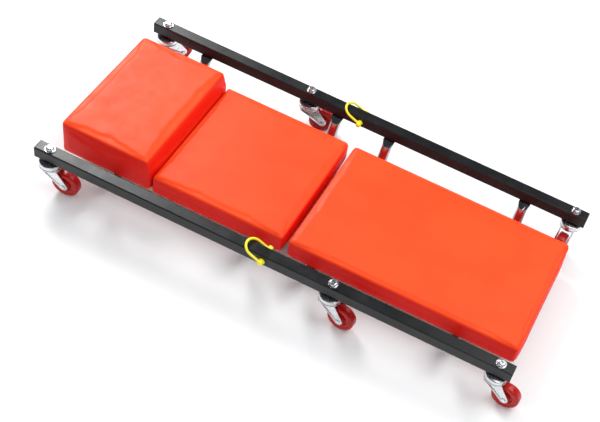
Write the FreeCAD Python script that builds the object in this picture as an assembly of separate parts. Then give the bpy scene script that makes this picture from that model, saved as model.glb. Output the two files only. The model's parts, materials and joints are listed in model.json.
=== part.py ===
import FreeCAD, Part
import math
import os

V = FreeCAD.Vector
os.makedirs("parts", exist_ok=True)

# ---------------------------------------------------------------------------
# Driving sizes, in mm.  +Z is up and z = 0 is the floor.  -X is the head end and
# +X the foot end.  Everything is drawn about the middle of the frame, and the
# last section moves it so that the origin is under the middle of the whole part.
# ---------------------------------------------------------------------------
overall_length = 1016.0
overall_width = 465.0

# Square steel side rails, each cut in two at the middle of the creeper.
rail_size = 25.4
rail_wall = 1.5
rail_corner = 2.5
rail_split_gap = 0.6
cap_flange = 2.0
cap_plug_length = 16.0
cap_wall = 2.0

# Square inserts that carry the rails across the split.
insert_length = 100.0
insert_wall = 2.0
slide_clearance = 0.3

# Casters.
wheel_diameter = 57.0
wheel_width = 20.0
hub_width = 24.0
caster_height = 80.6
caster_trail = 32.0
caster_end_inset = 28.0
caster_mid_offset = 133.0
cup_diameter = 46.0
fork_sheet = 2.5
king_bolt_diameter = 8.0
axle_diameter = 6.0

# Cushions and the boards that they are built on.
cushion_side_gap = 76.5
cushion_end_inset = 7.0
cushion_split_gap = 9.0
cushion_drop = 25.0
cushion_depth = 44.0
board_thickness = 9.0
board_inset = 3.0
pillow_length = 204.0
pillow_rise = 34.0
pillow_slope_run = 9.0
pillow_seam = 1.0
cushion_corner = 9.0

# Dropped cross members of round tube with flattened ends.
cross_tube_diameter = 22.0
cross_tube_wall = 1.5
cross_tab_width = 25.0
cross_slope_angle = 60.0
cross_bend_radius = 22.0
cross_inner_offset = 61.0
cross_end_inset = 132.0
cross_bolt_diameter = 6.0
pad_screw_diameter = 5.0
pad_screw_offset = 90.0

# Locking pins through the rails, just on the head side of the split.
pin_diameter = 8.0
pin_offset = 10.0
pin_clearance = 0.1
strap_diameter = 4.8
strap_reach = 44.0
strap_lift = 6.24
strap_cap_diameter = 13.5
strap_outer_cap = 9.0
strap_inner_cap = 12.0

# Clearances.
bolt_clearance = 0.3
running_clearance = 0.06
side_clearance = 0.4
face_gap = 0.6
contact_gap = 0.05
ball_clearance = 0.06

# ---------------------------------------------------------------------------
# Sizes that follow from the ones above.
# ---------------------------------------------------------------------------
half_length = overall_length / 2.0
rail_y = overall_width / 2.0 - rail_size / 2.0
rail_bottom = caster_height
rail_top = rail_bottom + rail_size
rail_middle = rail_bottom + rail_size / 2.0
rail_bore = rail_size - 2.0 * rail_wall
caster_end_x = half_length - caster_end_inset
cross_outer_offset = half_length - cross_end_inset

cushion_top = rail_top - cushion_drop
board_bottom = cushion_top - cushion_depth
cushion_end = half_length - cushion_end_inset
cushion_half_width = overall_width / 2.0 - cushion_side_gap
cushion_width = 2.0 * cushion_half_width
cushion_split = cushion_split_gap / 2.0
pillow_top = cushion_top + pillow_rise
pillow_end = -cushion_end + pillow_length
strap_lean = math.degrees(math.asin((rail_size / 2.0 + strap_lift) / strap_reach))

axle_height = wheel_diameter / 2.0
leg_inside = hub_width / 2.0 + side_clearance
leg_outside = leg_inside + fork_sheet
sleeve_outside = axle_diameter + 6.0
wheel_bore = sleeve_outside + 2.0 * running_clearance

cup_radius = cup_diameter / 2.0
upper_ball = 2.4
lower_ball = 1.5
crown_bottom = wheel_diameter + 6.5
crown_top = crown_bottom + fork_sheet
upper_ball_ring = cup_radius * 0.65
lower_ball_ring = king_bolt_diameter / 2.0 + 4.5
groove_depth = 0.5
upper_ball_height = crown_top - groove_depth + upper_ball + ball_clearance
cup_floor = upper_ball_height + upper_ball + ball_clearance - groove_depth
cup_top = cup_floor + 3.0
lower_ball_height = crown_bottom + groove_depth - lower_ball - ball_clearance
lower_cup_top = lower_ball_height - lower_ball - ball_clearance + groove_depth
lower_cup_bottom = lower_cup_top - 2.5
king_nut_height = 5.5
king_nut_across = 13.0
washer_thickness = 1.6
king_head_height = 5.5
king_head_diameter = 16.5
king_washer_diameter = 21.0

# name: x, y and the heading of the trailing wheel in degrees about +Z.
casters = {
    "near_head": (-caster_end_x, -rail_y, 4.0),
    "near_mid": (caster_mid_offset, -rail_y, -6.0),
    "near_foot": (caster_end_x, -rail_y, -3.0),
    "far_head": (-caster_end_x, rail_y, 60.0),
    "far_mid": (-caster_mid_offset, rail_y, 25.0),
    "far_foot": (caster_end_x, rail_y, -95.0),
}
cross_places = {
    "head_end": -cross_outer_offset,
    "head_inner": -cross_inner_offset,
    "foot_inner": cross_inner_offset,
    "foot_end": cross_outer_offset,
}
sides = {"near": -1.0, "far": 1.0}


# ---------------------------------------------------------------------------
# Helpers.
# ---------------------------------------------------------------------------
nodes = {}


def save(name, shape):
    """Keeps one node, to be written when the whole part is drawn."""
    if shape.ShapeType != "Compound" and len(shape.Solids) == 1:
        shape = shape.Solids[0]
    nodes[name] = shape


def box(x0, x1, y0, y1, z0, z1):
    return Part.makeBox(x1 - x0, y1 - y0, z1 - z0, V(x0, y0, z0))


def disc(radius, z0, z1, x=0.0, y=0.0):
    return Part.makeCylinder(radius, z1 - z0, V(x, y, z0))


def rod_y(radius, y0, y1, x, z):
    return Part.makeCylinder(radius, y1 - y0, V(x, y0, z), V(0, 1, 0))


def hexagon(across, z0, z1):
    corner = across / math.sqrt(3.0)
    points = []
    for i in range(7):
        angle = math.radians(60.0 * i)
        points.append(V(corner * math.cos(angle), corner * math.sin(angle), z0))
    return Part.Face(Part.makePolygon(points)).extrude(V(0, 0, z1 - z0))


def edges_along(shape, axis, want=None):
    """The straight edges that run along one axis, filtered by a test on their middle."""
    found = []
    for edge in shape.Edges:
        if not isinstance(edge.Curve, Part.Line):
            continue
        direction = edge.Curve.Direction
        if abs(abs(direction.dot(axis)) - 1.0) > 1e-6:
            continue
        middle = edge.CenterOfMass
        if want is None or want(middle):
            found.append(edge)
    return found


def revolve(points):
    """Turns a closed outline of (radius, height) points about Z."""
    outline = [V(r, 0, z) for r, z in points]
    outline.append(outline[0])
    return Part.Face(Part.makePolygon(outline)).revolve(V(0, 0, 0), V(0, 0, 1), 360)


def square_tube(size, wall, corner, x0, x1, y, z):
    """A square tube along X with rounded outer corners."""
    half = size / 2.0
    outer = box(x0, x1, y - half, y + half, z - half, z + half)
    outer = outer.makeFillet(corner, edges_along(outer, V(1, 0, 0)))
    inner_half = half - wall
    inner = box(x0 - 1, x1 + 1, y - inner_half, y + inner_half, z - inner_half, z + inner_half)
    inner_corner = max(corner - wall, 0.4)
    inner = inner.makeFillet(inner_corner, edges_along(inner, V(1, 0, 0)))
    return outer.cut(inner)


def groove(ring_radius, ball_radius, z):
    return Part.makeTorus(ring_radius, ball_radius + ball_clearance, V(0, 0, z))


def placed(shape, x, y, turn=0.0):
    """A copy of a caster part, turned about its own king bolt and moved to its place."""
    moved = shape.copy()
    moved.rotate(V(0, 0, 0), V(0, 0, 1), turn)
    moved.translate(V(x, y, 0))
    return moved


def on_every_caster(shape):
    return Part.makeCompound([placed(shape, x, y) for x, y, turn in casters.values()])


# ---------------------------------------------------------------------------
# Side rails, inserts and end caps.
# ---------------------------------------------------------------------------
def make_rail(side, head):
    y = sides[side] * rail_y
    near_split = rail_split_gap / 2.0
    far_end = half_length - cap_flange
    x0, x1 = (-far_end, -near_split) if head else (near_split, far_end)
    rail = square_tube(rail_size, rail_wall, rail_corner, x0, x1, y, rail_middle)
    holes = []
    king_radius = king_bolt_diameter / 2.0 + bolt_clearance
    for cx, cy, turn in casters.values():
        if cy * y > 0 and x0 < cx < x1:
            holes.append(disc(king_radius, rail_bottom - 1, rail_top + 1, cx, cy))
    cross_radius = cross_bolt_diameter / 2.0 + bolt_clearance
    for cx in cross_places.values():
        if x0 < cx < x1:
            holes.append(disc(cross_radius, rail_bottom - 1, rail_middle, cx, y))
    if head:
        reach = rail_size / 2.0 + 1
        holes.append(rod_y(pin_diameter / 2.0 + pin_clearance, y - reach, y + reach, -pin_offset, rail_middle))
    for hole in holes:
        rail = rail.cut(hole)
    return rail


def make_insert(side):
    y = sides[side] * rail_y
    size = rail_bore - 2.0 * slide_clearance
    half = insert_length / 2.0
    tube = square_tube(size, insert_wall, 1.5, -half, half, y, rail_middle)
    reach = rail_size / 2.0
    hole = rod_y(pin_diameter / 2.0 + pin_clearance, y - reach, y + reach, -pin_offset, rail_middle)
    return tube.cut(hole)


def make_cap(side, end):
    """A plastic cap: a thin flange flush with the rail and a hollow plug inside it."""
    y = sides[side] * rail_y
    half = rail_size / 2.0
    flange = box(half_length - cap_flange, half_length, y - half, y + half, rail_bottom, rail_top)
    flange = flange.makeFillet(rail_corner, edges_along(flange, V(1, 0, 0)))
    plug_size = rail_bore - 2.0 * slide_clearance
    plug_end = half_length - cap_flange
    plug = square_tube(plug_size, cap_wall, 1.5, plug_end - cap_plug_length, plug_end, y, rail_middle)
    cap = flange.fuse(plug)
    if end < 0:
        cap = cap.mirror(V(0, 0, 0), V(1, 0, 0))
    return cap


for side in sides:
    save(side + "_rail_head_half", make_rail(side, True))
    save(side + "_rail_foot_half", make_rail(side, False))
    save(side + "_rail_insert", make_insert(side))
save("rail_end_caps", Part.makeCompound([make_cap(s, e) for s in sides for e in (-1, 1)]))


# ---------------------------------------------------------------------------
# Cross members: a straight run under the board, a rise at each end, and a
# flattened tab bolted up against the underside of the rail.
# ---------------------------------------------------------------------------
cross_radius = cross_tube_diameter / 2.0
cross_axis_height = board_bottom - cross_radius - contact_gap
tab_thickness = 2.0 * cross_tube_wall
tab_inner_y = rail_y - rail_size / 2.0 - 3.0
tab_outer_y = rail_y + rail_size / 2.0 - 2.0
slope = math.radians(cross_slope_angle)
neck_height = rail_bottom - tab_thickness / 2.0 - 11.0
neck_y = tab_inner_y - 4.0
knee_y = neck_y - (neck_height - cross_axis_height) / math.tan(slope)


def cross_wire():
    """The centre line from neck to neck, with a bend at each knee."""
    cut = cross_bend_radius * math.tan(slope / 2.0)
    neck = V(0, neck_y, neck_height)
    knee = V(0, knee_y, cross_axis_height)
    up = (neck - knee).normalize()
    flat_end = knee - V(0, cut, 0)
    rise_start = knee + up * cut
    bend_centre = flat_end + V(0, 0, cross_bend_radius)
    toward_knee = (knee - bend_centre).normalize()
    bend_middle = bend_centre + toward_knee * cross_bend_radius
    mirror = [V(p.x, -p.y, p.z) for p in (neck, rise_start, bend_middle, flat_end)]
    return Part.Wire([
        Part.makeLine(mirror[0], mirror[1]),
        Part.Arc(mirror[1], mirror[2], mirror[3]).toShape(),
        Part.makeLine(mirror[3], flat_end),
        Part.Arc(flat_end, bend_middle, rise_start).toShape(),
        Part.makeLine(rise_start, neck),
    ])


def round_section(radius, side):
    """A four-arc circle at the neck, square to the rising tube."""
    along = V(0, side * math.cos(slope), math.sin(slope))
    across = V(1, 0, 0)
    up = along.cross(across) * side
    centre = V(0, side * neck_y, neck_height)
    arcs = []
    for i in range(4):
        points = []
        for step in (0.0, 45.0, 90.0):
            angle = math.radians(45.0 + 90.0 * i + step)
            points.append(centre + across * (radius * math.cos(angle)) + up * (radius * math.sin(angle)))
        arcs.append(Part.Arc(points[0], points[1], points[2]).toShape())
    return Part.Wire(arcs)


def flat_section(width, thickness, side):
    """The flattened end of the tube where the tab begins."""
    middle = V(0, side * tab_inner_y, rail_bottom - tab_thickness / 2.0)
    half_width = width / 2.0
    half_thick = thickness / 2.0
    up = V(0, -side * math.sin(slope / 2.0), math.cos(slope / 2.0)) * half_thick
    corners = [
        middle + V(half_width, 0, 0) + up,
        middle - V(half_width, 0, 0) + up,
        middle - V(half_width, 0, 0) - up,
        middle + V(half_width, 0, 0) - up,
    ]
    return Part.makePolygon(corners + [corners[0]])


def make_cross_member():
    profile = Part.Wire(Part.makeCircle(cross_radius, V(0, -neck_y, neck_height), V(0, -math.cos(slope), math.sin(slope))))
    tube = cross_wire().makePipeShell([profile], True, True)
    body = tube
    for side in (-1.0, 1.0):
        neck = Part.makeLoft(
            [round_section(cross_radius, side), flat_section(cross_tab_width, tab_thickness, side)], True, True
        )
        y0, y1 = sorted((side * (tab_inner_y - 0.5), side * tab_outer_y))
        tab = box(-cross_tab_width / 2, cross_tab_width / 2, y0, y1, rail_bottom - tab_thickness, rail_bottom)
        outer_edges = edges_along(tab, V(0, 0, 1), lambda m: abs(m.y) > tab_inner_y + 1)
        tab = tab.makeFillet(6.0, outer_edges)
        body = body.fuse(neck).fuse(tab)
    hollow_profile = Part.Wire(
        Part.makeCircle(
            cross_radius - cross_tube_wall, V(0, -neck_y, neck_height), V(0, -math.cos(slope), math.sin(slope))
        )
    )
    hollow = cross_wire().makePipeShell([hollow_profile], True, True)
    body = body.cut(hollow)
    for side in (-1.0, 1.0):
        body = body.cut(
            disc(cross_bolt_diameter / 2.0 + bolt_clearance, rail_bottom - 20, rail_bottom + 1, 0, side * rail_y)
        )
        body = body.cut(
            disc(pad_screw_diameter / 2.0 + bolt_clearance, 0, board_bottom + 1, 0, side * pad_screw_offset)
        )
    return body


cross_member = make_cross_member()
for name, x in cross_places.items():
    moved = cross_member.copy()
    moved.translate(V(x, 0, 0))
    save("cross_member_" + name, moved)


def make_cross_bolt():
    """A hexagon bolt from below, through the tab and the rail's lower wall."""
    head_top = rail_bottom - tab_thickness
    head = hexagon(10.0, head_top - 4.0, head_top)
    shank = disc(cross_bolt_diameter / 2.0, head_top - 0.5, rail_bottom + rail_wall + 9.0)
    return head.fuse(shank)


def make_cross_nut():
    """The nut that is fixed inside the rail."""
    z0 = rail_bottom + rail_wall
    nut = hexagon(10.0, z0, z0 + 5.0)
    return nut.cut(disc(cross_bolt_diameter / 2.0, z0 - 1, z0 + 6))


def at_cross_tabs(shape):
    return Part.makeCompound([placed(shape, x, s * rail_y) for x in cross_places.values() for s in (-1, 1)])


save("cross_member_bolts", at_cross_tabs(make_cross_bolt()))
save("cross_member_nuts", at_cross_tabs(make_cross_nut()))


# ---------------------------------------------------------------------------
# Boards and cushions.
# ---------------------------------------------------------------------------
board_half_width = cushion_half_width - board_inset
board_top = board_bottom + board_thickness
tee_nut_barrel = pad_screw_diameter / 2.0 + 1.2


def make_board(x0, x1):
    board = box(x0, x1, -board_half_width, board_half_width, board_bottom, board_top)
    board = board.makeFillet(6.0, edges_along(board, V(0, 0, 1)))
    for x in cross_places.values():
        if x0 < x < x1:
            for side in (-1, 1):
                board = board.cut(disc(tee_nut_barrel, board_bottom - 1, board_top + 1, x, side * pad_screw_offset))
    return board


def make_cushion(x0, x1, z_top, pocket_x0, pocket_x1, soft_edge):
    """A covered foam block with rounded upper edges and a pocket for its board."""
    block = box(x0, x1, -cushion_half_width, cushion_half_width, board_bottom, z_top)
    upright = edges_along(block, V(0, 0, 1), soft_edge)
    if upright:
        block = block.makeFillet(cushion_corner, upright)
    rims = [e for e in block.Edges if abs(e.BoundBox.ZMin - z_top) < 1e-6 and abs(e.BoundBox.ZMax - z_top) < 1e-6]
    block = block.makeFillet(cushion_corner * 0.6, rims)
    pocket = box(pocket_x0, pocket_x1, -board_half_width, board_half_width, board_bottom - 1, board_top)
    return block.cut(pocket)


board_head = -cushion_end + board_inset
board_split = cushion_split + board_inset
save("head_board", make_board(board_head, -board_split))
save("leg_board", make_board(board_split, -board_head))

mid_start = pillow_end + pillow_seam
leg_cushion = make_cushion(
    cushion_split, cushion_end, cushion_top, board_split, -board_head, lambda m: True
)
save("leg_cushion", leg_cushion)
mid_cushion = make_cushion(
    mid_start, -cushion_split, cushion_top, mid_start - 1, -board_split, lambda m: m.x > mid_start + 1
)
save("mid_cushion", mid_cushion)


def make_pillow():
    """The raised head cushion; its foot end leans back a little above the mid cushion."""
    outline = [
        V(-cushion_end, 0, board_bottom),
        V(pillow_end, 0, board_bottom),
        V(pillow_end, 0, cushion_top),
        V(pillow_end - pillow_slope_run, 0, pillow_top),
        V(-cushion_end, 0, pillow_top),
    ]
    outline = [V(p.x, -cushion_half_width, p.z) for p in outline]
    block = Part.Face(Part.makePolygon(outline + [outline[0]])).extrude(V(0, cushion_width, 0))
    upright = edges_along(block, V(0, 0, 1), lambda m: m.x < -cushion_end + 1)
    block = block.makeFillet(cushion_corner, upright)
    rims = [
        e for e in block.Edges
        if abs(e.BoundBox.ZMin - pillow_top) < 1e-6 and abs(e.BoundBox.ZMax - pillow_top) < 1e-6
    ]
    block = block.makeFillet(cushion_corner * 0.5, rims)
    pocket = box(board_head, pillow_end + 1, -board_half_width, board_half_width, board_bottom - 1, board_top)
    return block.cut(pocket)


save("pillow_cushion", make_pillow())


def make_pad_screw():
    """A pan-head screw up through the cross member into the board."""
    head_top = cross_axis_height - cross_radius
    head = disc(4.8, head_top - 2.8, head_top)
    shank = disc(pad_screw_diameter / 2.0, head_top - 0.5, board_top - 0.5)
    return head.fuse(shank)


def make_tee_nut():
    """A flanged barrel nut sunk into the board from above."""
    barrel = disc(tee_nut_barrel, board_bottom + 0.5, board_top)
    bore = disc(pad_screw_diameter / 2.0, board_bottom - 1, board_top + 1)
    return barrel.cut(bore)


def at_pad_screws(shape):
    return Part.makeCompound([placed(shape, x, s * pad_screw_offset) for x in cross_places.values() for s in (-1, 1)])


save("cushion_screws", at_pad_screws(make_pad_screw()))
save("board_tee_nuts", at_pad_screws(make_tee_nut()))


# ---------------------------------------------------------------------------
# Locking pins with a flexible yellow strap from one end to the other.
# ---------------------------------------------------------------------------
strap_bend = rail_size / 2.0 + strap_outer_cap * 0.7
lean = math.radians(strap_lean)
strap_out = V(-math.cos(lean), 0, math.sin(lean))
cap_start = rail_size / 2.0 + face_gap
cap_bore_depth = 6.0


def make_pin(side):
    y = sides[side] * rail_y
    reach = cap_start + cap_bore_depth
    return rod_y(pin_diameter / 2.0, y - reach, y + reach, -pin_offset, rail_middle)


def make_strap(side):
    """Two round end caps joined by a bowed strap that leans over the rail."""
    sign = sides[side]
    y = sign * rail_y
    centre = V(-pin_offset, y, rail_middle)
    leg = V(0, strap_bend, 0)
    turn = strap_out * (strap_reach - strap_bend)
    start = centre + leg
    leg_end = centre + leg + turn
    apex = centre + strap_out * strap_reach
    other_leg_end = centre - leg + turn
    finish = centre - leg
    path = Part.Wire([
        Part.makeLine(start, leg_end),
        Part.Arc(leg_end, apex, other_leg_end).toShape(),
        Part.makeLine(other_leg_end, finish),
    ])
    profile = Part.Wire(Part.makeCircle(strap_diameter / 2.0, start, strap_out))
    strap = path.makePipeShell([profile], True, True)
    radius = strap_cap_diameter / 2.0
    outer0, outer1 = sorted((y + sign * cap_start, y + sign * (cap_start + strap_outer_cap)))
    inner0, inner1 = sorted((y - sign * cap_start, y - sign * (cap_start + strap_inner_cap)))
    outer_cap = rod_y(radius, outer0, outer1, -pin_offset, rail_middle)
    inner_cap = rod_y(radius * 0.92, inner0, inner1, -pin_offset, rail_middle)
    outer_cap = outer_cap.makeFillet(1.6, [e for e in outer_cap.Edges if e.Closed])
    inner_cap = inner_cap.makeFillet(1.6, [e for e in inner_cap.Edges if e.Closed])
    strap = strap.fuse(outer_cap).fuse(inner_cap)
    return strap.cut(make_pin(side))


for side in sides:
    save(side + "_lock_pin", make_pin(side))
    save(side + "_lock_strap", make_strap(side))


# ---------------------------------------------------------------------------
# Casters, drawn about a king bolt on the Z axis with the wheel trailing to +X.
# ---------------------------------------------------------------------------
def make_king_bolt():
    """A pan-head bolt with a cross recess, down through the rail and the caster."""
    under_head = rail_top + washer_thickness
    radius = king_head_diameter / 2.0
    head = disc(radius, under_head, under_head + king_head_height)
    top_rim = [e for e in head.Edges if e.Closed and e.BoundBox.ZMin > under_head + 1]
    head = head.makeFillet(king_head_height * 0.6, top_rim)
    slot_top = under_head + king_head_height + 1
    slot = box(-3.6, 3.6, -0.8, 0.8, slot_top - 4.0, slot_top)
    cross_slot = box(-0.8, 0.8, -3.6, 3.6, slot_top - 4.0, slot_top)
    head = head.cut(slot).cut(cross_slot)
    shank = disc(king_bolt_diameter / 2.0, lower_cup_bottom - king_nut_height - 0.6, under_head + 0.5)
    return head.fuse(shank)


def make_king_washer():
    bore = king_bolt_diameter / 2.0 + bolt_clearance
    ring = disc(king_washer_diameter / 2.0, rail_top, rail_top + washer_thickness)
    return ring.cut(disc(bore, rail_top - 1, rail_top + 3))


def make_upper_cup():
    """The fixed upper race: a flat-topped cup on a short collar under the rail."""
    bore = king_bolt_diameter / 2.0 + bolt_clearance / 2.0
    skirt_bottom = crown_top + 0.8
    skirt_inside = cup_radius - 2.2
    collar = 11.0
    shape = revolve([
        (bore, cup_floor),
        (skirt_inside, cup_floor),
        (skirt_inside, skirt_bottom),
        (cup_radius, skirt_bottom),
        (cup_radius, cup_top - 1.8),
        (cup_radius - 1.8, cup_top),
        (collar, cup_top),
        (collar, rail_bottom),
        (bore, rail_bottom),
    ])
    return shape.cut(groove(upper_ball_ring, upper_ball, upper_ball_height))


def make_lower_cup():
    bore = king_bolt_diameter / 2.0 + bolt_clearance / 2.0
    radius = lower_ball_ring + 3.6
    plate = disc(radius, lower_cup_bottom, lower_cup_top)
    plate = plate.cut(disc(bore, lower_cup_bottom - 1, lower_cup_top + 1))
    return plate.cut(groove(lower_ball_ring, lower_ball, lower_ball_height))


def make_king_nut():
    nut = hexagon(king_nut_across, lower_cup_bottom - king_nut_height, lower_cup_bottom)
    return nut.cut(disc(king_bolt_diameter / 2.0, 0, lower_cup_bottom + 1))


def make_balls(count, ring_radius, ball_radius, z):
    balls = []
    for i in range(count):
        angle = 2.0 * math.pi * i / count
        centre = V(ring_radius * math.cos(angle), ring_radius * math.sin(angle), z)
        balls.append(Part.makeSphere(ball_radius, centre))
    return Part.makeCompound(balls)


def make_fork():
    """Pressed fork: a round crown with two ball grooves and two tapered legs."""
    crown = disc(cup_radius, crown_bottom, crown_top)
    crown = crown.cut(disc(king_bolt_diameter / 2.0 + 0.8, 0, crown_top + 1))
    crown = crown.cut(groove(upper_ball_ring, upper_ball, upper_ball_height))
    crown = crown.cut(groove(lower_ball_ring, lower_ball, lower_ball_height))
    eye = 9.0
    half_chord = math.sqrt(cup_radius ** 2 - leg_outside ** 2) - 0.5
    axle = (caster_trail, axle_height)
    front_top = (-half_chord, crown_bottom + 0.5)
    back_top = (half_chord, crown_bottom + 0.5)

    def tangent_point(corner, side):
        dx = axle[0] - corner[0]
        dz = axle[1] - corner[1]
        reach = math.hypot(dx, dz)
        toward = math.atan2(dz, dx)
        spread = math.acos(eye / reach)
        angle = toward + math.pi + side * spread
        return (axle[0] + eye * math.cos(angle), axle[1] + eye * math.sin(angle))

    front_low = tangent_point(front_top, 1.0)
    back_low = tangent_point(back_top, -1.0)
    outline = [front_top, front_low, axle, back_low, back_top]
    body = crown
    for side in (-1.0, 1.0):
        y0, y1 = sorted((side * leg_inside, side * leg_outside))
        points = [V(x, y0, z) for x, z in outline]
        plate = Part.Face(Part.makePolygon(points + [points[0]])).extrude(V(0, y1 - y0, 0))
        plate = plate.fuse(rod_y(eye, y0, y1, axle[0], axle[1]))
        plate = plate.cut(rod_y(axle_diameter / 2.0 + running_clearance, y0 - 1, y1 + 1, axle[0], axle[1]))
        body = body.fuse(plate)
    return body.removeSplitter()


def make_axle():
    """A rivet with a wide dome at one end and a smaller peened dome at the other."""
    x, z = caster_trail, axle_height
    shank = rod_y(axle_diameter / 2.0, -leg_outside - 0.5, leg_outside + 0.5, x, z)
    wide = rod_y(5.6, -leg_outside - 2.8, -leg_outside, x, z)
    wide = wide.makeFillet(1.9, [e for e in wide.Edges if e.Closed and e.CenterOfMass.y < -leg_outside - 2])
    small = rod_y(4.6, leg_outside, leg_outside + 2.4, x, z)
    small = small.makeFillet(1.7, [e for e in small.Edges if e.Closed and e.CenterOfMass.y > leg_outside + 2])
    return shank.fuse(wide).fuse(small)


def make_sleeve():
    """The steel spacer clamped between the legs, on which the wheel turns."""
    half = leg_inside
    tube = rod_y(sleeve_outside / 2.0, -half, half, caster_trail, axle_height)
    return tube.cut(rod_y(axle_diameter / 2.0 + running_clearance, -half - 1, half + 1, caster_trail, axle_height))


def make_wheel():
    """A moulded wheel: rounded tread, dished sides and a raised hub."""
    tread = wheel_diameter / 2.0
    half = wheel_width / 2.0
    half_hub = hub_width / 2.0
    bore = wheel_bore / 2.0
    hub = bore + 4.0
    rim_inner = tread - 8.0
    dish = 4.0
    half_outline = [
        (bore, half_hub),
        (hub - 0.8, half_hub),
        (hub, half_hub - 0.8),
        (hub + 1.2, half - dish),
        (rim_inner - 1.5, half - dish),
        (rim_inner, half),
        (tread - 4.5, half),
        (tread - 2.2, half - 0.9),
        (tread - 0.7, half - 2.6),
        (tread, half - 5.2),
    ]
    lower = [(r, -z) for r, z in reversed(half_outline)]
    wheel = revolve(half_outline + lower)
    wheel.rotate(V(0, 0, 0), V(1, 0, 0), -90)
    wheel.translate(V(caster_trail, 0, axle_height))
    return wheel


save("caster_king_bolts", on_every_caster(make_king_bolt()))
save("caster_bolt_washers", on_every_caster(make_king_washer()))
save("caster_upper_cups", on_every_caster(make_upper_cup()))
save("caster_lower_cups", on_every_caster(make_lower_cup()))
save("caster_king_nuts", on_every_caster(make_king_nut()))
upper_balls = make_balls(10, upper_ball_ring, upper_ball, upper_ball_height)
lower_balls = make_balls(8, lower_ball_ring, lower_ball, lower_ball_height)
save("caster_upper_balls", Part.makeCompound([placed(b, x, y) for x, y, t in casters.values() for b in upper_balls.Solids]))
save("caster_lower_balls", Part.makeCompound([placed(b, x, y) for x, y, t in casters.values() for b in lower_balls.Solids]))

fork = make_fork()
axle = make_axle()
sleeve = make_sleeve()
wheel = make_wheel()
for name, (x, y, turn) in casters.items():
    save(name + "_fork", placed(fork, x, y, turn))
    save(name + "_axle", placed(axle, x, y, turn))
    save(name + "_axle_sleeve", placed(sleeve, x, y, turn))
    save(name + "_wheel", placed(wheel, x, y, turn))


# ---------------------------------------------------------------------------
# Places the origin on the floor under the middle of the part's box, which the
# trailing wheels push off the middle of the frame, and writes the nodes.
# ---------------------------------------------------------------------------
bounds = Part.makeCompound(list(nodes.values())).optimalBoundingBox(False, False)
shift = V(-round((bounds.XMin + bounds.XMax) / 2.0, 2), -round((bounds.YMin + bounds.YMax) / 2.0, 2), 0)
print("the middle of the frame is at x = %.2f, y = %.2f" % (shift.x, shift.y))
for name, shape in nodes.items():
    shape.translate(shift)
    shape.exportStep("parts/" + name + ".step")
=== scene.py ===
import json
import math
import bpy
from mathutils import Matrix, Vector


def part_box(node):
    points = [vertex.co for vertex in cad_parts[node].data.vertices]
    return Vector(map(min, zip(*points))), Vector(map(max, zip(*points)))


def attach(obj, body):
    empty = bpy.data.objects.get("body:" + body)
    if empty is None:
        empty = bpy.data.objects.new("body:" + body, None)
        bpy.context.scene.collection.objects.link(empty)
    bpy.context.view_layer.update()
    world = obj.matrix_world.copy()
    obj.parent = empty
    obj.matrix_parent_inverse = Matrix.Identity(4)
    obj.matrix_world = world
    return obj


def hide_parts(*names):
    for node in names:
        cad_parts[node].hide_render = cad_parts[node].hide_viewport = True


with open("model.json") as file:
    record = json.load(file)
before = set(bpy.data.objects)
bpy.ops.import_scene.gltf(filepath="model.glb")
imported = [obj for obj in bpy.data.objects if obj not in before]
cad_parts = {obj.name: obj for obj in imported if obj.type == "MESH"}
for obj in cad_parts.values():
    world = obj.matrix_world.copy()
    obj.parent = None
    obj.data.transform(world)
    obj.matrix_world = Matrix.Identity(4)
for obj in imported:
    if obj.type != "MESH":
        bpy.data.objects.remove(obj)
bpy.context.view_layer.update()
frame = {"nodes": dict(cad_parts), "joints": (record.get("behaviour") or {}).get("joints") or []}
MM = 0.001


# ---------------------------------------------------------------------------
# The camera stands above the near rail and towards the foot end, turned a
# little, and looks down across the creeper to the raised pillow.
# ---------------------------------------------------------------------------
bpy.ops.object.select_all(action="DESELECT")
bpy.ops.object.camera_add(
    location=(0.4976, -1.5657, 1.8664),
    rotation=(math.radians(36.53), math.radians(-10.40), math.radians(24.13)),
)
camera = bpy.context.object
camera.name = "camera"
camera.data.sensor_width = 36.0
camera.data.lens = 71.6
camera.data.shift_x = -0.1667
camera.data.shift_y = 0.165
camera.data.clip_start = 0.05
camera.data.dof.use_dof = False
bpy.context.scene.camera = camera


# ---------------------------------------------------------------------------
# The floor and the light: a plain pale studio floor under one broad soft box
# from above and the far side, and two weaker ones that model the edges.
# ---------------------------------------------------------------------------
def new_finish(name, colour, roughness, metal=0.0):
    """A material whose shader starts from one colour, roughness and metal value."""
    finish = bpy.data.materials.new(name)
    finish.use_nodes = True
    shader = finish.node_tree.nodes["Principled BSDF"]
    shader.inputs["Base Color"].default_value = (*colour, 1.0)
    shader.inputs["Roughness"].default_value = roughness
    shader.inputs["Metallic"].default_value = metal
    return finish


bpy.ops.mesh.primitive_plane_add(size=16.0, location=(0, 0, 0))
floor = bpy.context.object
floor.name = "floor"
floor.data.materials.append(new_finish("pale_floor", (0.86, 0.865, 0.87), 0.7))


def soft_box(name, place, towards, width, height, power):
    """One rectangular soft light, aimed at a point."""
    bpy.ops.object.light_add(type="AREA", location=place)
    light = bpy.context.object
    light.name = name
    light.data.shape = "RECTANGLE"
    light.data.size = width
    light.data.size_y = height
    light.data.energy = power
    aim = Vector(towards) - Vector(place)
    light.rotation_euler = aim.to_track_quat("-Z", "Y").to_euler()


soft_box("overhead_box", (1.1, 0.5, 2.2), (0.1, 0, 0), 2.0, 1.4, 35.0)
soft_box("head_box", (-1.95, 1.6, 1.9), (-0.4, 0, 0.1), 1.1, 1.1, 70.0)
soft_box("near_box", (0.2, -2.4, 1.4), (0, 0, 0.05), 2.0, 0.9, 5.0)

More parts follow.
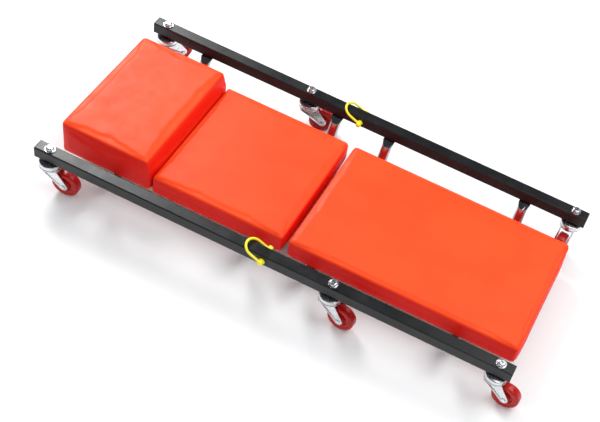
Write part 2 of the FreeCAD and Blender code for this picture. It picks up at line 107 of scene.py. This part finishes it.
world = bpy.data.worlds.new("studio")
bpy.context.scene.world = world
world.use_nodes = True
studio = world.node_tree.nodes
direction = studio.new("ShaderNodeTexCoord")
height = studio.new("ShaderNodeSeparateXYZ")
dark_ceiling = studio.new("ShaderNodeValToRGB")
dark_ceiling.color_ramp.elements[0].position = 0.05
dark_ceiling.color_ramp.elements[0].color = (0.85, 0.86, 0.88, 1.0)
dark_ceiling.color_ramp.elements[1].position = 0.55
dark_ceiling.color_ramp.elements[1].color = (0.07, 0.072, 0.076, 1.0)
seen_in = studio.new("ShaderNodeLightPath")
studio_light = studio.new("ShaderNodeMix")
studio_light.data_type = "RGBA"
studio_light.inputs[6].default_value = (0.95, 0.965, 0.98, 1.0)
join = world.node_tree.links.new
join(direction.outputs["Generated"], height.inputs["Vector"])
join(height.outputs["Z"], dark_ceiling.inputs["Fac"])
join(seen_in.outputs["Is Glossy Ray"], studio_light.inputs[0])
join(dark_ceiling.outputs["Color"], studio_light.inputs[7])
join(studio_light.outputs[2], studio["Background"].inputs["Color"])
studio["Background"].inputs["Strength"].default_value = 0.70
bpy.context.scene.view_settings.view_transform = "Standard"


# ---------------------------------------------------------------------------
# Side rails: 1 in square steel tube, each sawn in two at the middle and
# sprayed satin black. The enamel has a fine orange peel and a film of dust.
# ---------------------------------------------------------------------------
def on_object(finish, stretch=(1, 1, 1)):
    """The surface position in metres, stretched along an axis where the pattern runs."""
    nodes = finish.node_tree.nodes
    place = nodes.new("ShaderNodeTexCoord")
    mapping = nodes.new("ShaderNodeMapping")
    mapping.inputs["Scale"].default_value = stretch
    finish.node_tree.links.new(place.outputs["Object"], mapping.inputs["Vector"])
    return mapping.outputs["Vector"]


def mottle(finish, size, detail=3.0, stretch=(1, 1, 1), rough=0.55):
    """A soft random pattern, 0 to 1, whose patches are about this many metres across."""
    texture = finish.node_tree.nodes.new("ShaderNodeTexNoise")
    texture.inputs["Scale"].default_value = 1.0 / size
    texture.inputs["Detail"].default_value = detail
    texture.inputs["Roughness"].default_value = rough
    finish.node_tree.links.new(on_object(finish, stretch), texture.inputs["Vector"])
    return texture.outputs["Fac"]


def pebble(finish, size, soft=0.3):
    """A pattern of rounded cells, 0 at each middle and about 1 at the valleys between."""
    texture = finish.node_tree.nodes.new("ShaderNodeTexVoronoi")
    texture.feature = "SMOOTH_F1"
    texture.inputs["Scale"].default_value = 1.0 / size
    texture.inputs["Smoothness"].default_value = soft
    finish.node_tree.links.new(on_object(finish), texture.inputs["Vector"])
    return texture.outputs["Distance"]


def ranged(finish, pattern, start, end, low, high):
    """Turns the pattern's values from start to end into values from low to high."""
    node = finish.node_tree.nodes.new("ShaderNodeMapRange")
    node.inputs["From Min"].default_value = start
    node.inputs["From Max"].default_value = end
    node.inputs["To Min"].default_value = low
    node.inputs["To Max"].default_value = high
    finish.node_tree.links.new(pattern, node.inputs["Value"])
    return node.outputs["Result"]


def two_tone(finish, pattern, low, high, start=0.35, end=0.65):
    """Colours the finish from low to high with the pattern."""
    ramp = finish.node_tree.nodes.new("ShaderNodeValToRGB")
    ramp.color_ramp.elements[0].position = start
    ramp.color_ramp.elements[0].color = (*low, 1.0)
    ramp.color_ramp.elements[1].position = end
    ramp.color_ramp.elements[1].color = (*high, 1.0)
    finish.node_tree.links.new(pattern, ramp.inputs["Fac"])
    shader = finish.node_tree.nodes["Principled BSDF"]
    finish.node_tree.links.new(ramp.outputs["Color"], shader.inputs["Base Color"])
    return ramp


def dull(finish, pattern, low, high, start=0.3, end=0.7):
    """Spreads the roughness from low to high with the pattern."""
    shader = finish.node_tree.nodes["Principled BSDF"]
    finish.node_tree.links.new(ranged(finish, pattern, start, end, low, high), shader.inputs["Roughness"])


def relief(finish, pattern, depth, strength=1.0):
    """Raises the surface with the pattern, by depth in metres, on top of any relief it has."""
    bump = finish.node_tree.nodes.new("ShaderNodeBump")
    bump.inputs["Distance"].default_value = depth
    bump.inputs["Strength"].default_value = strength
    finish.node_tree.links.new(pattern, bump.inputs["Height"])
    normal = finish.node_tree.nodes["Principled BSDF"].inputs["Normal"]
    if normal.is_linked:
        finish.node_tree.links.new(normal.links[0].from_socket, bump.inputs["Normal"])
    finish.node_tree.links.new(bump.outputs["Normal"], normal)


def finish_parts(finish, *names):
    """Puts a finish on CAD nodes whose own shape is right."""
    for name in names:
        for holder in frame["nodes"][name].material_slots:
            holder.material = finish


black_enamel = new_finish("black_enamel", (0.012, 0.0125, 0.014), 0.32)
black_enamel.node_tree.nodes["Principled BSDF"].inputs["Specular IOR Level"].default_value = 0.4
two_tone(black_enamel, mottle(black_enamel, 0.09, 4.0), (0.005, 0.0055, 0.006), (0.011, 0.0115, 0.013))
dull(black_enamel, mottle(black_enamel, 0.03, 3.0), 0.26, 0.38)
relief(black_enamel, mottle(black_enamel, 0.0014, 1.0), 0.00006, 0.3)
finish_parts(
    black_enamel,
    "near_rail_head_half", "near_rail_foot_half", "far_rail_head_half", "far_rail_foot_half",
)


# ---------------------------------------------------------------------------
# End caps: moulded black plastic plugs, pushed into the four open rail ends.
# Their flanges are dull and lightly textured from the mould.
# ---------------------------------------------------------------------------
black_plastic = new_finish("black_plastic", (0.018, 0.018, 0.019), 0.5)
two_tone(black_plastic, mottle(black_plastic, 0.006), (0.014, 0.014, 0.015), (0.024, 0.024, 0.026))
dull(black_plastic, mottle(black_plastic, 0.012), 0.42, 0.62)
relief(black_plastic, mottle(black_plastic, 0.0007, 1.0), 0.00008, 0.5)
finish_parts(black_plastic, "rail_end_caps")


# ---------------------------------------------------------------------------
# Rail inserts: bare square steel tube that slides into the rails and carries
# them across the split. Drawn steel with length-wise marks.
# ---------------------------------------------------------------------------
plain_steel = new_finish("plain_steel", (0.5, 0.5, 0.51), 0.35, 1.0)
two_tone(plain_steel, mottle(plain_steel, 0.01, 4.0, (0.2, 1, 1)), (0.42, 0.42, 0.43), (0.58, 0.58, 0.59))
dull(plain_steel, mottle(plain_steel, 0.002, 3.0, (0.1, 1, 1)), 0.28, 0.46)
relief(plain_steel, mottle(plain_steel, 0.0006, 2.0, (0.05, 1, 1)), 0.00004, 0.5)
finish_parts(plain_steel, "near_rail_insert", "far_rail_insert")


# ---------------------------------------------------------------------------
# Cross members: round tube bent down under the boards, flattened at each end
# and bolted under the rails. Polished and plated bright.
# ---------------------------------------------------------------------------
bright_tube = new_finish("bright_tube", (0.5, 0.51, 0.53), 0.1, 1.0)
two_tone(bright_tube, mottle(bright_tube, 0.03, 3.0), (0.44, 0.45, 0.47), (0.56, 0.57, 0.59))
dull(bright_tube, mottle(bright_tube, 0.008, 4.0), 0.06, 0.18)
relief(bright_tube, mottle(bright_tube, 0.0009, 1.0, (1, 0.3, 0.3)), 0.00002, 0.3)
finish_parts(
    bright_tube,
    "cross_member_head_end", "cross_member_head_inner", "cross_member_foot_inner", "cross_member_foot_end",
)


# ---------------------------------------------------------------------------
# Fasteners of the cross members and boards: hexagon bolts up into nuts inside
# the rails, and pan-head screws up into tee nuts in the boards. Zinc plated.
# ---------------------------------------------------------------------------
zinc_plate = new_finish("zinc_plate", (0.72, 0.73, 0.75), 0.24, 1.0)
two_tone(zinc_plate, mottle(zinc_plate, 0.007, 4.0), (0.66, 0.68, 0.71), (0.82, 0.83, 0.84))
dull(zinc_plate, mottle(zinc_plate, 0.003, 4.0), 0.14, 0.36)
relief(zinc_plate, mottle(zinc_plate, 0.0008, 3.0), 0.00004, 0.35)
finish_parts(zinc_plate, "cross_member_bolts", "cushion_screws")
finish_parts(plain_steel, "cross_member_nuts", "board_tee_nuts")


# ---------------------------------------------------------------------------
# Boards: two sheets of 9 mm plywood that the cushions are built on. The grain
# of the face veneer runs along the creeper.
# ---------------------------------------------------------------------------
plywood = new_finish("plywood", (0.55, 0.38, 0.22), 0.62)
two_tone(plywood, mottle(plywood, 0.009, 6.0, (0.06, 1, 1), 0.65), (0.42, 0.27, 0.14), (0.66, 0.48, 0.29))
dull(plywood, mottle(plywood, 0.02), 0.55, 0.75)
relief(plywood, mottle(plywood, 0.0011, 3.0, (0.05, 1, 1)), 0.0002, 0.5)
finish_parts(plywood, "head_board", "leg_board")


# ---------------------------------------------------------------------------
# Cushions: blocks of firm foam on the boards under red vinyl with a fine
# leather grain, pulled down over rounded edges and stapled underneath.
# ---------------------------------------------------------------------------
red_vinyl = new_finish("red_vinyl", (0.83, 0.05, 0.012), 0.42)
red_vinyl.node_tree.nodes["Principled BSDF"].inputs["Specular IOR Level"].default_value = 0.2
# Painted light: the tops get an orange red and the upright sides a deeper, purer red, standing in for the
# brighter-lit tops reading orange. The mottle over the tops is tone that varies at random.
lit_top_mottle = two_tone(red_vinyl, mottle(red_vinyl, 0.14, 4.0), (0.84, 0.056, 0.006), (0.90, 0.070, 0.010))
facing = red_vinyl.node_tree.nodes.new("ShaderNodeSeparateXYZ")
which_way = red_vinyl.node_tree.nodes.new("ShaderNodeTexCoord")
red_vinyl.node_tree.links.new(which_way.outputs["Normal"], facing.inputs["Vector"])
# Painted light: the share of the orange top colour grows as the face turns upward, by the surface normal.
lit_top_share = ranged(red_vinyl, facing.outputs["Z"], 0.2, 0.95, 0.0, 1.0)
mixing = red_vinyl.node_tree.nodes.new("ShaderNodeMix")
mixing.data_type = "RGBA"
mixing.inputs[6].default_value = (0.82, 0.008, 0.003, 1.0)
red_vinyl.node_tree.links.new(lit_top_share, mixing.inputs[0])
red_vinyl.node_tree.links.new(lit_top_mottle.outputs["Color"], mixing.inputs[7])
red_vinyl.node_tree.links.new(
    mixing.outputs[2], red_vinyl.node_tree.nodes["Principled BSDF"].inputs["Base Color"]
)
dull(red_vinyl, mottle(red_vinyl, 0.03, 5.0), 0.40, 0.52)
relief(red_vinyl, pebble(red_vinyl, 0.0016), 0.00016, 0.5)
relief(red_vinyl, mottle(red_vinyl, 0.0006, 2.0), 0.00005, 0.4)
relief(red_vinyl, mottle(red_vinyl, 0.05, 2.0), 0.0012, 0.35)

swell_frames = 20
hem_width = 20.0 * MM
hem_thickness = 0.4 * MM


def select_where(test, kind="EDGE"):
    """In edit mode, selects only the edges or faces whose middle passes a test."""
    bpy.ops.mesh.select_mode(type=kind)
    bpy.ops.mesh.select_all(action="DESELECT")
    bpy.ops.object.mode_set(mode="OBJECT")
    mesh = bpy.context.object.data
    if kind == "EDGE":
        for edge in mesh.edges:
            a, b = (mesh.vertices[i].co for i in edge.vertices)
            edge.select = test((a + b) / 2, (b - a).normalized())
    else:
        for face in mesh.polygons:
            face.select = test(face.center, face.normal)
    bpy.ops.object.mode_set(mode="EDIT")


def cover_pad(name, node, uprights, lean=0.0, tucked=lambda c: False):
    """One cushion: a rounded block, blown up tight as cloth, and kept flat on its board and neighbours."""
    low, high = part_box(node)
    start = low + Vector((0.6, 1.0, 0.0)) * MM
    stop = high - Vector((0.6, 1.0, 1.0)) * MM
    bpy.ops.object.select_all(action="DESELECT")
    bpy.ops.mesh.primitive_cube_add(size=1.0, location=(start + stop) / 2)
    pad = bpy.context.object
    pad.name = name
    pad.scale = stop - start
    bpy.ops.object.transform_apply(location=True, rotation=False, scale=True)
    bpy.ops.object.mode_set(mode="EDIT")
    if lean:
        bpy.ops.mesh.select_all(action="SELECT")
        bpy.ops.mesh.bisect(plane_co=(0, 0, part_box("mid_cushion")[1].z), plane_no=(0, 0, 1))
        select_where(lambda c, d: c.x > stop.x - MM and c.z > stop.z - MM and abs(d.y) > 0.9)
        bpy.ops.transform.translate(value=(-lean, 0, 0))
    select_where(lambda c, d: abs(d.z) > 0.9 and uprights(c))
    bpy.ops.mesh.bevel(offset=9.0 * MM, segments=5, affect="EDGES")
    select_where(lambda c, d: c.z > stop.z - 0.2 * MM and abs(d.z) < 0.1 and not tucked(c))
    bpy.ops.mesh.bevel(offset=6.0 * MM, segments=4, affect="EDGES")
    bpy.ops.object.mode_set(mode="OBJECT")
    grid = pad.modifiers.new("even_grid", "REMESH")
    grid.mode = "VOXEL"
    grid.voxel_size = 4.0 * MM
    bpy.ops.object.modifier_apply(modifier=grid.name)

    held = pad.vertex_groups.new(name="stapled")
    floor_height = low.z + 1.5 * MM
    held.add([v.index for v in pad.data.vertices if v.co.z < floor_height], 1.0, "REPLACE")
    before = [(v.co.copy(), v.normal.copy()) for v in pad.data.vertices]
    swell = pad.modifiers.new("swell", "CLOTH")
    swell.settings.quality = 5
    swell.settings.mass = 0.3
    swell.settings.tension_stiffness = 18.0
    swell.settings.compression_stiffness = 18.0
    swell.settings.shear_stiffness = 6.0
    swell.settings.bending_stiffness = 0.6
    swell.settings.vertex_group_mass = "stapled"
    swell.settings.use_pressure = True
    swell.settings.uniform_pressure_force = 4.0
    swell.settings.effector_weights.gravity = 0.0
    swell.point_cache.frame_start = 1
    swell.point_cache.frame_end = swell_frames
    for step in range(1, swell_frames + 1):
        bpy.context.scene.frame_set(step)
    bpy.ops.object.modifier_apply(modifier=swell.name)
    bpy.context.scene.frame_set(1)
    for vertex, (was, outward) in zip(pad.data.vertices, before):
        moved = vertex.co - was
        swollen = moved.dot(outward)
        slid = moved - outward * swollen
        swollen = min(max(swollen, -0.7 * MM), 2.0 * MM)
        if slid.length > 0.4 * MM:
            slid = slid.normalized() * 0.4 * MM
        vertex.co = was + outward * swollen + slid
        from_edge = min(was.x - start.x, stop.x - was.x, was.y - start.y, stop.y - was.y)
        if was.z < floor_height and from_edge > hem_width:
            vertex.co.z = low.z + 3.0 * MM
        elif was.z < floor_height:
            vertex.co.z = low.z - hem_thickness
    finer = pad.modifiers.new("finer", "SUBSURF")
    finer.levels = 1
    finer.render_levels = 1
    bpy.ops.object.modifier_apply(modifier=finer.name)
    bpy.ops.object.shade_smooth()
    pad.data.materials.clear()
    pad.data.materials.append(red_vinyl)
    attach(pad, "frame")
    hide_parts(node)
    return pad


cover_pad("leg_pad", "leg_cushion", lambda c: True)
cover_pad("mid_pad", "mid_cushion", lambda c: c.x > -0.1, tucked=lambda c: c.x < -0.3)
cover_pad("pillow_pad", "pillow_cushion", lambda c: c.x < -0.4, lean=9.0 * MM)


# ---------------------------------------------------------------------------
# Caster hardware: a king bolt with its washer and nut, two turned ball cups
# and rings of bare steel balls, clamped up under the rail. Zinc plated.
# ---------------------------------------------------------------------------
finish_parts(
    zinc_plate,
    "caster_king_bolts", "caster_bolt_washers", "caster_lower_cups", "caster_king_nuts",
)
finish_parts(plain_steel, "caster_upper_balls", "caster_lower_balls")
casters = ("near_head", "near_mid", "near_foot", "far_head", "far_mid", "far_foot")
joint_place = {joint["name"]: Vector(joint["pos_m"]) for joint in frame["joints"]}


def hang_caster_piece(pattern, caster, node, body):
    """A copy of a caster piece, turned to its caster's heading and moved under its king bolt."""
    king = joint_place[caster + "_swivel"]
    axle = joint_place[caster + "_spin"]
    piece = pattern.copy()
    piece.data = pattern.data.copy()
    piece.name = caster + "_" + pattern.name.replace("_pattern", "")
    bpy.context.collection.objects.link(piece)
    piece.rotation_euler = (0, 0, math.atan2(axle.y - king.y, axle.x - king.x))
    piece.location = (king.x, king.y, 0)
    bpy.ops.object.select_all(action="DESELECT")
    piece.select_set(True)
    bpy.context.view_layer.objects.active = piece
    bpy.ops.object.transform_apply(location=True, rotation=True, scale=True)
    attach(piece, body)
    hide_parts(node)


# ---------------------------------------------------------------------------
# Upper ball cups: pressed from sheet with a rounded shoulder and a straight
# skirt that covers the ring of balls on the fork's crown.
# ---------------------------------------------------------------------------
cup_radius = 23.0 * MM
cup_skirt = 66.7 * MM
cup_shoulder = 76.5 * MM

bpy.ops.object.select_all(action="DESELECT")
cups = []
for caster in casters:
    king = joint_place[caster + "_swivel"]
    bpy.ops.mesh.primitive_cylinder_add(
        vertices=56, radius=cup_radius, depth=cup_shoulder - cup_skirt,
        location=(king.x, king.y, (cup_skirt + cup_shoulder) / 2),
    )
    cups.append(bpy.context.object)
for cup in cups:
    cup.select_set(True)
bpy.ops.object.join()
cups = bpy.context.object
cups.name = "upper_cups"
bpy.ops.object.transform_apply(location=True, rotation=False, scale=True)
bpy.ops.object.mode_set(mode="EDIT")
select_where(lambda c, n: n.z > 0.99, kind="FACE")
bpy.ops.mesh.inset(thickness=8.0 * MM, depth=0.0)
bpy.ops.transform.translate(value=(0, 0, 1.5 * MM))
select_where(lambda c, d: abs(c.z - cup_shoulder) < 0.1 * MM and abs(d.z) < 0.1)
bpy.ops.mesh.bevel(offset=2.2 * MM, segments=5, affect="EDGES")
select_where(lambda c, d: abs(c.z - cup_skirt) < 0.1 * MM)
bpy.ops.mesh.bevel(offset=1.6 * MM, segments=4, affect="EDGES")
bpy.ops.object.mode_set(mode="OBJECT")
bpy.ops.object.shade_smooth_by_angle(angle=math.radians(40))
cups.data.materials.append(zinc_plate)
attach(cups, "frame")
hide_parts("caster_upper_cups")


# ---------------------------------------------------------------------------
# Forks: pressed from 2.5 mm sheet, a round crown with two tapered legs that
# end round the axle rivet. All edges are rolled over by the press; zinc plated.
# ---------------------------------------------------------------------------
wheel_radius = 28.5 * MM
wheel_trail = 32.0 * MM
sheet = 2.5 * MM
crown_radius = 23.0 * MM
crown_height = 64.75 * MM
leg_middle = 13.65 * MM
leg_half_top = 17.4 * MM
eye_radius = 9.0 * MM

bpy.ops.object.select_all(action="DESELECT")
bpy.ops.mesh.primitive_cylinder_add(
    vertices=64, radius=crown_radius, depth=sheet, location=(0, 0, crown_height)
)
fork = bpy.context.object
fork.name = "fork_pattern"
bpy.ops.object.transform_apply(location=True, rotation=False, scale=True)
leg_parts = [fork]
for side in (-1, 1):
    bpy.ops.mesh.primitive_cylinder_add(
        vertices=48, radius=eye_radius, depth=sheet,
        location=(wheel_trail, side * leg_middle, wheel_radius), rotation=(math.pi / 2, 0, 0),
    )
    leg = bpy.context.object
    bpy.ops.object.transform_apply(location=True, rotation=True, scale=True)
    bpy.ops.object.mode_set(mode="EDIT")
    for stop_x in (-leg_half_top, leg_half_top):
        bpy.ops.mesh.primitive_cube_add(
            size=sheet, location=(stop_x, side * leg_middle, crown_height - sheet)
        )
    bpy.ops.mesh.select_all(action="SELECT")
    bpy.ops.mesh.convex_hull(delete_unused=True, use_existing_faces=False, join_triangles=True)
    bpy.ops.mesh.select_all(action="SELECT")
    bpy.ops.mesh.dissolve_limited(angle_limit=math.radians(1.0))
    bpy.ops.mesh.normals_make_consistent(inside=False)
    select_where(lambda c, n: n.y * side > 0.99, kind="FACE")
    bpy.ops.mesh.inset(thickness=3.6 * MM, depth=0.0)
    bpy.ops.mesh.inset(thickness=1.2 * MM, depth=0.7 * MM)
    bpy.ops.object.mode_set(mode="OBJECT")
    leg_parts.append(leg)
bpy.ops.object.select_all(action="DESELECT")
for part in leg_parts:
    part.select_set(True)
bpy.context.view_layer.objects.active = fork
bpy.ops.object.join()
rolled = fork.modifiers.new("rolled_edges", "BEVEL")
rolled.width = 0.7 * MM
rolled.segments = 3
rolled.limit_method = "ANGLE"
rolled.angle_limit = math.radians(50)
bpy.ops.object.modifier_apply(modifier=rolled.name)
bpy.ops.object.shade_smooth_by_angle(angle=math.radians(35))
fork.data.materials.append(zinc_plate)
for caster in casters:
    hang_caster_piece(fork, caster, caster + "_fork", caster + "_caster")
    finish_parts(zinc_plate, caster + "_axle")
    finish_parts(plain_steel, caster + "_axle_sleeve")
bpy.data.objects.remove(fork)


# ---------------------------------------------------------------------------
# Wheels: solid red polyurethane, moulded in one piece with dished sides and
#  a raised hub round the bore.
# ---------------------------------------------------------------------------
red_wheel = new_finish("red_wheel", (0.4, 0.006, 0.005), 0.2)
red_wheel.node_tree.nodes["Principled BSDF"].inputs["Specular IOR Level"].default_value = 0.35
two_tone(red_wheel, mottle(red_wheel, 0.02, 3.0), (0.36, 0.005, 0.004), (0.46, 0.008, 0.006))
dull(red_wheel, mottle(red_wheel, 0.006, 4.0), 0.16, 0.34)
relief(red_wheel, mottle(red_wheel, 0.0012, 2.0), 0.00006, 0.4)
half_tread = 10.0 * MM

bpy.ops.object.select_all(action="DESELECT")
bpy.ops.mesh.primitive_cylinder_add(
    vertices=96, radius=wheel_radius, depth=2 * half_tread,
    location=(wheel_trail, 0, wheel_radius), rotation=(math.pi / 2, 0, 0),
)
wheel = bpy.context.object
wheel.name = "wheel_pattern"
bpy.ops.object.transform_apply(location=True, rotation=True, scale=True)
bpy.ops.object.mode_set(mode="EDIT")
select_where(lambda c, d: abs(abs(c.y) - half_tread) < 0.1 * MM)
bpy.ops.mesh.bevel(offset=4.6 * MM, segments=6, profile=0.5, affect="EDGES")
for side in (-1, 1):
    select_where(lambda c, n: n.y * side > 0.999, kind="FACE")
    bpy.ops.mesh.inset(thickness=8.6 * MM, depth=-1.4 * MM)
    bpy.ops.mesh.inset(thickness=1.4 * MM, depth=-3.4 * MM)
    bpy.ops.mesh.inset(thickness=3.0 * MM, depth=0.0)
    bpy.ops.mesh.inset(thickness=0.9 * MM, depth=5.6 * MM)
    bpy.ops.mesh.inset(thickness=0.7 * MM, depth=1.2 * MM)
bpy.ops.object.mode_set(mode="OBJECT")
bore_edge = wheel.modifiers.new("soft_edges", "BEVEL")
bore_edge.width = 0.35 * MM
bore_edge.segments = 2
bore_edge.limit_method = "ANGLE"
bore_edge.angle_limit = math.radians(40)
bpy.ops.object.modifier_apply(modifier=bore_edge.name)
bpy.ops.object.shade_smooth_by_angle(angle=math.radians(40))
wheel.data.materials.append(red_wheel)
for caster in casters:
    hang_caster_piece(wheel, caster, caster + "_wheel", caster + "_roller")
bpy.data.objects.remove(wheel)


# ---------------------------------------------------------------------------
# Locking pins: zinc-plated steel pins through the rails and their inserts,
# kept by bowed yellow plastic straps that clip over both ends.
# ---------------------------------------------------------------------------
yellow_plastic = new_finish("yellow_plastic", (0.86, 0.76, 0.02), 0.38)
two_tone(yellow_plastic, mottle(yellow_plastic, 0.02), (0.86, 0.76, 0.012), (0.93, 0.84, 0.025))
dull(yellow_plastic, mottle(yellow_plastic, 0.004), 0.3, 0.46)
relief(yellow_plastic, mottle(yellow_plastic, 0.0011, 2.0), 0.00006, 0.4)
finish_parts(zinc_plate, "near_lock_pin", "far_lock_pin")
strap_radius = 2.5 * MM
strap_bow = 19.0 * MM
strap_run = 25.0 * MM
strap_out = Vector((-math.cos(math.radians(25.5)), 0, math.sin(math.radians(25.5))))
rail_half = 12.7 * MM


def mould_strap(side, outward):
    """One strap: a round cord of plastic bowed from cap to cap, with a flanged, domed cap at each end."""
    low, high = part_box(side + "_lock_pin")
    pin = (low + high) / 2
    bpy.ops.object.select_all(action="DESELECT")
    bpy.ops.mesh.primitive_circle_add(
        vertices=16, radius=strap_radius, fill_type="NGON",
        location=pin + Vector((0, strap_bow, 0)) + strap_out * 1.5 * MM,
        rotation=strap_out.to_track_quat("Z", "Y").to_euler(),
    )
    strap = bpy.context.object
    strap.name = side + "_strap"
    bpy.ops.object.transform_apply(location=True, rotation=True, scale=True)
    bpy.ops.object.mode_set(mode="EDIT")
    bpy.ops.mesh.select_all(action="SELECT")
    for step in range(4):
        bpy.ops.mesh.extrude_region_move(
            TRANSFORM_OT_translate={"value": strap_out * (strap_run - 1.5 * MM) / 4}
        )
    select_where(lambda c, n: n.dot(strap_out) > 0.99, kind="FACE")
    bpy.ops.mesh.spin(
        steps=24, angle=math.pi, center=pin + strap_out * strap_run, axis=strap_out.cross(Vector((0, 1, 0))),
    )
    for step in range(4):
        bpy.ops.mesh.extrude_region_move(
            TRANSFORM_OT_translate={"value": -strap_out * (strap_run - 1.5 * MM) / 4}
        )
    bpy.ops.object.mode_set(mode="OBJECT")
    parts = [strap]
    for reach, cap_length, cap_radius in ((outward, 9.0 * MM, 6.7 * MM), (-outward, 12.0 * MM, 6.2 * MM)):
        start = rail_half + 0.7 * MM
        for radius, near, far in ((cap_radius, 0.0, 2.4 * MM), (cap_radius - 1.1 * MM, 1.8 * MM, cap_length)):
            bpy.ops.mesh.primitive_cylinder_add(
                vertices=40, radius=radius, depth=far - near,
                location=pin + Vector((0, reach * (start + (near + far) / 2), 0)),
                rotation=(math.pi / 2, 0, 0),
            )
            cap = bpy.context.object
            bpy.ops.object.transform_apply(location=True, rotation=True, scale=True)
            bpy.ops.object.mode_set(mode="EDIT")
            if near:
                select_where(lambda c, n: n.y * reach > 0.99, kind="FACE")
                bpy.ops.mesh.inset(thickness=1.4 * MM, depth=1.0 * MM)
                bpy.ops.mesh.inset(thickness=1.6 * MM, depth=0.5 * MM)
            bpy.ops.object.mode_set(mode="OBJECT")
            parts.append(cap)
    bpy.ops.object.select_all(action="DESELECT")
    for part in parts:
        part.select_set(True)
    bpy.context.view_layer.objects.active = strap
    bpy.ops.object.join()
    bpy.ops.object.mode_set(mode="EDIT")
    bpy.ops.mesh.select_all(action="SELECT")
    bpy.ops.mesh.remove_doubles(threshold=0.01 * MM)
    bpy.ops.mesh.normals_make_consistent(inside=False)
    bpy.ops.object.mode_set(mode="OBJECT")
    edges = strap.modifiers.new("soft_edges", "BEVEL")
    edges.width = 0.6 * MM
    edges.segments = 3
    edges.limit_method = "ANGLE"
    edges.angle_limit = math.radians(45)
    bpy.ops.object.modifier_apply(modifier=edges.name)
    bpy.ops.object.shade_smooth_by_angle(angle=math.radians(45))
    strap.data.materials.append(yellow_plastic)
    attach(strap, side + "_lock")
    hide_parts(side + "_lock_strap")


mould_strap("near", -1)
mould_strap("far", 1)
